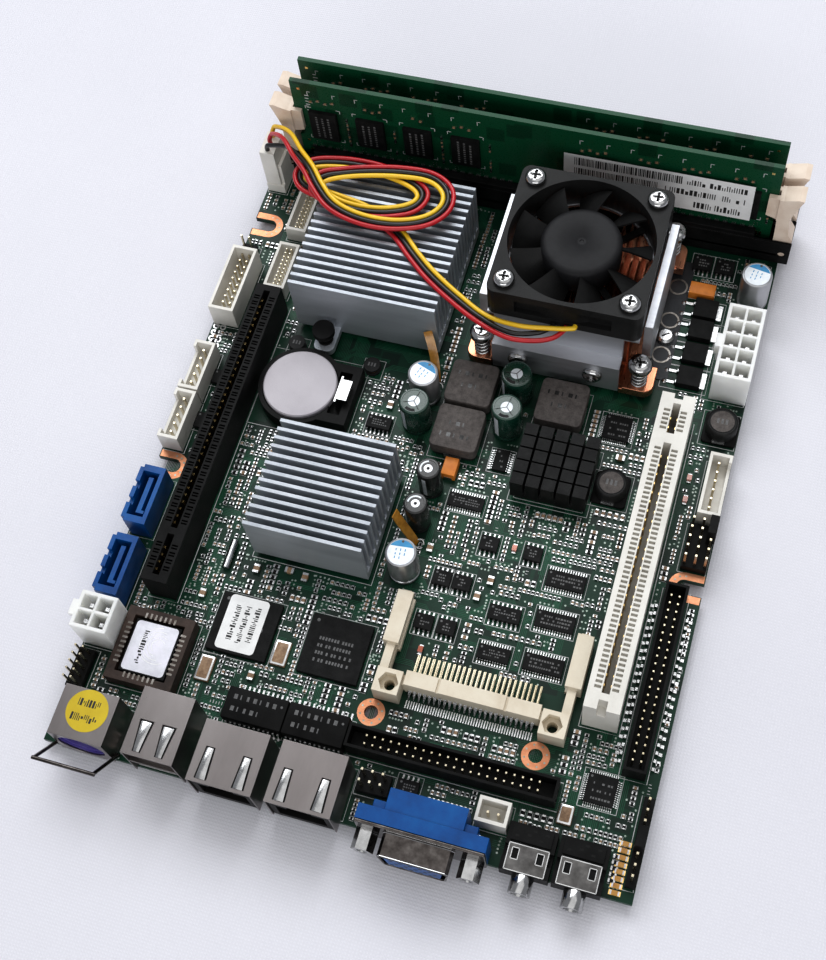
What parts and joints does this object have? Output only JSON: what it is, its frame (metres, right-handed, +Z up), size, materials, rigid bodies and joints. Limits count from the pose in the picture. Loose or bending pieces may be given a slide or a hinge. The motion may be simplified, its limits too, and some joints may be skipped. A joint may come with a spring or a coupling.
{
  "type": "single board computer",
  "caption": "Embedded single board computer with two memory modules, a fan-cooled processor, finned chipset heatsinks, expansion slots and a row of ports.",
  "frame": {"origin": "midway between the two copper-ringed mounting holes, on the board's underside", "axes": "+X along the port edge, +Y from the port edge towards the memory, +Z up out of the component side"},
  "size_m": [0.1504, 0.2107, 0.0403],
  "materials": {
    "solder_mask": "satin green solder mask over glass-epoxy board",
    "solder": "bright tinned solder",
    "black_plastic": "matte black connector moulding",
    "white_nylon": "off-white nylon",
    "gold_plate": "gold flashed contacts",
    "module_board": "glossy green module board",
    "chip_resin": "moulded epoxy with laser marks",
    "cream_plastic": "cream glass-filled plastic",
    "fan_plastic": "fine-grained black plastic",
    "bearing_brass": "sintered bearing bush",
    "screw_steel": "nickel-plated steel",
    "copper": "bare copper",
    "aluminium": "brushed and clear anodised aluminium",
    "black_steel": "black finished steel",
    "spring_steel": "spring steel",
    "black_anodised": "black anodised aluminium",
    "package_board": "chip carrier laminate",
    "cell_steel": "frosted stainless cell can",
    "blue_plastic": "blue connector moulding",
    "tin_plate": "tin-plated steel shell",
    "brown_plastic": "brown socket moulding",
    "inductor_grey": "pressed iron powder",
    "capacitor_can": "aluminium can and sleeve",
    "yellow_wire": "PVC insulation",
    "red_wire": "PVC insulation",
    "black_wire": "PVC insulation"
  },
  "bodies": {
    "board": {"pcb": "solder_mask", "solder_tails": "solder", "pcie_slot": "black_plastic", "pci_slot": "white_nylon", "slot_contacts": "gold_plate", "dimm_sockets": "black_plastic", "fan_frame": "fan_plastic", "fan_bearing": "bearing_brass", "small_screws": "screw_steel", "cooler_base": "copper", "cooler_fins": "copper", "cooler_bracket": "aluminium", "cooler_side_plates": "aluminium", "cooler_backplate": "black_steel", "spring_screws": "screw_steel", "cooler_springs": "spring_steel", "cpu_package": "package_board", "chipset_heatsink": "aluminium", "io_hub_heatsink": "aluminium", "pin_fin_heatsink": "black_anodised", "chipset_packages": "package_board", "push_pins": "black_plastic", "battery_holder": "black_plastic", "battery_clip": "spring_steel", "sata_sockets": "blue_plastic", "power_headers": "white_nylon", "ps2_shell": "tin_plate", "usb_shell": "tin_plate", "port_inserts": "black_plastic", "rj45_shells": "tin_plate", "vga_body": "blue_plastic", "vga_shell": "tin_plate", "vga_jackscrews": "screw_steel", "audio_jacks": "black_plastic", "audio_sleeves": "tin_plate", "card_header": "cream_plastic", "box_headers": "black_plastic", "header_pins": "gold_plate", "wafer_headers": "white_nylon", "bios_socket": "brown_plastic", "ic_packages": "chip_resin", "magnetics": "inductor_grey", "capacitors": "capacitor_can", "fan_plug": "white_nylon", "wire_yellow": "yellow_wire", "wire_red": "red_wire", "wire_black": "black_wire"},
    "front_module": {"memory_front": "module_board", "memory_front_chips": "chip_resin"},
    "back_module": {"memory_back": "module_board", "memory_back_chips": "chip_resin"},
    "front_left_latch": {"latch_front_left": "cream_plastic"},
    "front_right_latch": {"latch_front_right": "cream_plastic"},
    "back_left_latch": {"latch_back_left": "cream_plastic"},
    "back_right_latch": {"latch_back_right": "cream_plastic"},
    "rotor": {"fan_rotor": "fan_plastic"},
    "cell": {"coin_cell": "cell_steel"},
    "bail": {"ps2_bail": "black_steel"},
    "cap_right": {"jumper_cap_right": "black_plastic"},
    "cap_edge": {"jumper_cap_edge": "black_plastic"}
  },
  "joints": [
    {"name": "fan_spin", "type": "hinge", "parent": "board", "child": "rotor", "pos_m": [0.00105, 0.1229, 0.0286], "axis": [0, 0, 1], "continuous": true},
    {"name": "front_module_lift", "type": "slide", "parent": "board", "child": "front_module", "axis": [0, 0, 1], "range_m": [0, 0.004]},
    {"name": "back_module_lift", "type": "slide", "parent": "board", "child": "back_module", "axis": [0, 0, 1], "range_m": [0, 0.004]},
    {"name": "cell_lift", "type": "slide", "parent": "board", "child": "cell", "axis": [0, 0, 1], "range_m": [0, 0.005]},
    {"name": "bail_swing", "type": "hinge", "parent": "board", "child": "bail", "pos_m": [-0.08375, -0.0266, 0.0032], "axis": [1, 0, 0], "range_deg": [-60, 55]},
    {"name": "cap_right_pull", "type": "slide", "parent": "board", "child": "cap_right", "axis": [0, 0, 1], "range_m": [0, 0.0065]},
    {"name": "cap_edge_pull", "type": "slide", "parent": "board", "child": "cap_edge", "axis": [0, 0, 1], "range_m": [0, 0.0065]},
    {"name": "front_left_latch_swing", "type": "hinge", "parent": "board", "child": "front_left_latch", "pos_m": [-0.09123, 0.1534, 0.0056], "axis": [0, 1, 0], "range_deg": [-35, 0]},
    {"name": "front_right_latch_swing", "type": "hinge", "parent": "board", "child": "front_right_latch", "pos_m": [0.05013, 0.1534, 0.0056], "axis": [0, 1, 0], "range_deg": [0, 35]},
    {"name": "back_left_latch_swing", "type": "hinge", "parent": "board", "child": "back_left_latch", "pos_m": [-0.09123, 0.1608, 0.0056], "axis": [0, 1, 0], "range_deg": [-35, 0]},
    {"name": "back_right_latch_swing", "type": "hinge", "parent": "board", "child": "back_right_latch", "pos_m": [0.05013, 0.1608, 0.0056], "axis": [0, 1, 0], "range_deg": [0, 35]}
  ],
  "couplings": [
    {"joint": "front_left_latch_swing", "follows": "front_module_lift", "rad_per_m": -152.7},
    {"joint": "front_right_latch_swing", "follows": "front_module_lift", "rad_per_m": 152.7},
    {"joint": "back_left_latch_swing", "follows": "back_module_lift", "rad_per_m": -152.7},
    {"joint": "back_right_latch_swing", "follows": "back_module_lift", "rad_per_m": 152.7}
  ]
}
